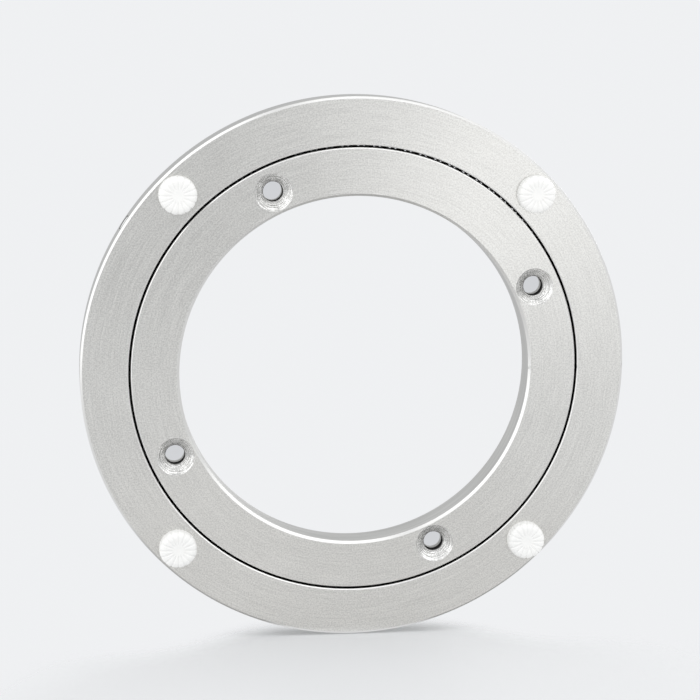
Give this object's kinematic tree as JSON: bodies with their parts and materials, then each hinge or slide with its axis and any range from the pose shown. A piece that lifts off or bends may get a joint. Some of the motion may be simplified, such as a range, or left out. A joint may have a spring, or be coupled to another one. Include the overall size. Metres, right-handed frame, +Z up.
{
  "type": "lazy susan turntable",
  "caption": "Flat ring turntable bearing: an inner ring for a tray turns on a row of steel balls in an outer ring that stands on soft fluted feet.",
  "frame": {"origin": "on the floor under the middle of the bore", "axes": "+Z up along the turning axis; the feet stand at 45 degrees to +X and +Y"},
  "size_m": [0.14, 0.14, 0.0115],
  "materials": {
    "ring_aluminium": "satin, fine turned",
    "plug_aluminium": "satin",
    "foot_plastic": "white soft plastic",
    "ball_steel": "polished bearing steel"
  },
  "bodies": {
    "base": {"outer_ring": "ring_aluminium", "fill_plug": "plug_aluminium", "foot_1": "foot_plastic", "foot_2": "foot_plastic", "foot_3": "foot_plastic", "foot_4": "foot_plastic"},
    "turning_ring": {"inner_ring": "ring_aluminium"},
    "ball_row": {"balls_01": "ball_steel", "balls_02": "ball_steel", "balls_03": "ball_steel", "balls_04": "ball_steel", "balls_05": "ball_steel", "balls_06": "ball_steel", "balls_07": "ball_steel", "balls_08": "ball_steel", "balls_09": "ball_steel", "balls_10": "ball_steel", "balls_11": "ball_steel", "balls_12": "ball_steel", "balls_13": "ball_steel", "balls_14": "ball_steel", "balls_15": "ball_steel", "balls_16": "ball_steel", "balls_17": "ball_steel", "balls_18": "ball_steel"}
  },
  "joints": [
    {"name": "turn", "type": "hinge", "parent": "base", "child": "turning_ring", "pos_m": [0, 0, 0.007], "axis": [0, 0, 1], "continuous": true},
    {"name": "ball_orbit", "type": "hinge", "parent": "base", "child": "ball_row", "pos_m": [0, 0, 0.007], "axis": [0, 0, 1], "continuous": true}
  ],
  "couplings": [
    {"joint": "ball_orbit", "follows": "turn", "ratio": 0.48275}
  ]
}
